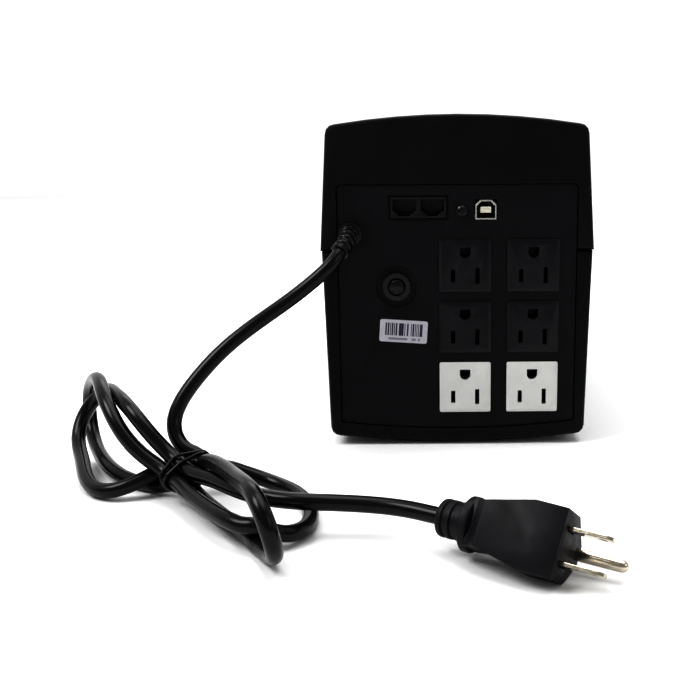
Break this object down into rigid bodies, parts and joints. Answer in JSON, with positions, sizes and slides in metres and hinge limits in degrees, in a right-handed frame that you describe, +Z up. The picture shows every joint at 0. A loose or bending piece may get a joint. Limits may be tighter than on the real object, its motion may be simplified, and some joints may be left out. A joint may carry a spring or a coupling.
{
  "type": "uninterruptible power supply",
  "caption": "Tower uninterruptible power supply with rear sockets, network jacks, circuit breaker, front power button, batteries inside and a coiled cord with its plug.",
  "frame": {"origin": "on the surface the case stands on, under the middle of the case (cord left out)", "axes": "+Z up, +Y from the socket panel towards the front bezel, +X to the right when facing the sockets"},
  "size_m": [0.2637, 0.5285, 0.1723],
  "materials": {
    "case": "fine satin texture",
    "panel": "satin",
    "socket_black": "satin",
    "socket_white": "satin",
    "gloss_black": "gloss",
    "lens": "smoked gloss",
    "led": "frosted",
    "label": "printed paper film",
    "foot": "matte",
    "steel": "zinc plated",
    "nickel": "nickel plated",
    "brass": "bright",
    "aluminium": "extruded",
    "ivory": "satin",
    "circuit_board": "solder mask",
    "battery": "satin",
    "winding": "varnished winding",
    "relay": "satin",
    "cord": "glossy vinyl",
    "plug": "satin vinyl"
  },
  "bodies": {
    "case": {"base_shell": "case", "battery_lower": "battery", "battery_upper": "battery", "breaker_body": "socket_black", "breaker_nut": "gloss_black", "buzzer": "gloss_black", "case_screw_1": "steel", "case_screw_2": "steel", "case_screw_3": "steel", "case_screw_4": "steel", "comm_board": "circuit_board", "cord_lead": "cord", "cord_tail": "cord", "foot_1": "foot", "foot_2": "foot", "foot_3": "foot", "foot_4": "foot", "front_bezel": "case", "front_board": "circuit_board", "hank_left": "cord", "hank_right": "cord", "hank_waist": "cord", "heat_sink": "aluminium", "indicator_led_1": "led", "indicator_led_2": "led", "indicator_led_3": "led", "indicator_lens": "lens", "main_board": "circuit_board", "main_capacitor": "gloss_black", "network_jack": "socket_black", "panel_screw": "gloss_black", "plug_blade_line": "nickel", "plug_blade_neutral": "nickel", "plug_body": "plug", "plug_ground_pin": "nickel", "rear_panel": "panel", "relay_1": "relay", "relay_2": "relay", "serial_label": "label", "socket_black_1": "socket_black", "socket_black_2": "socket_black", "socket_black_3": "socket_black", "socket_black_4": "socket_black", "socket_white_1": "socket_white", "socket_white_2": "socket_white", "strain_relief": "cord", "terminal_lower_minus": "brass", "terminal_lower_plus": "brass", "terminal_upper_minus": "brass", "terminal_upper_plus": "brass", "top_cover": "case", "transformer_core": "steel", "transformer_winding": "winding", "twist_tie": "gloss_black", "usb_shell": "nickel", "usb_tongue": "ivory"},
    "breaker_button": {"breaker_button": "gloss_black"},
    "power_button": {"power_button": "gloss_black"}
  },
  "joints": [
    {"name": "breaker_reset", "type": "slide", "parent": "case", "child": "breaker_button", "axis": [0, -1, 0], "range_m": [0, 0.004]},
    {"name": "power_press", "type": "slide", "parent": "case", "child": "power_button", "axis": [0, -1, 0], "range_m": [0, 0.0025], "stiffness_N_per_m": 400}
  ]
}
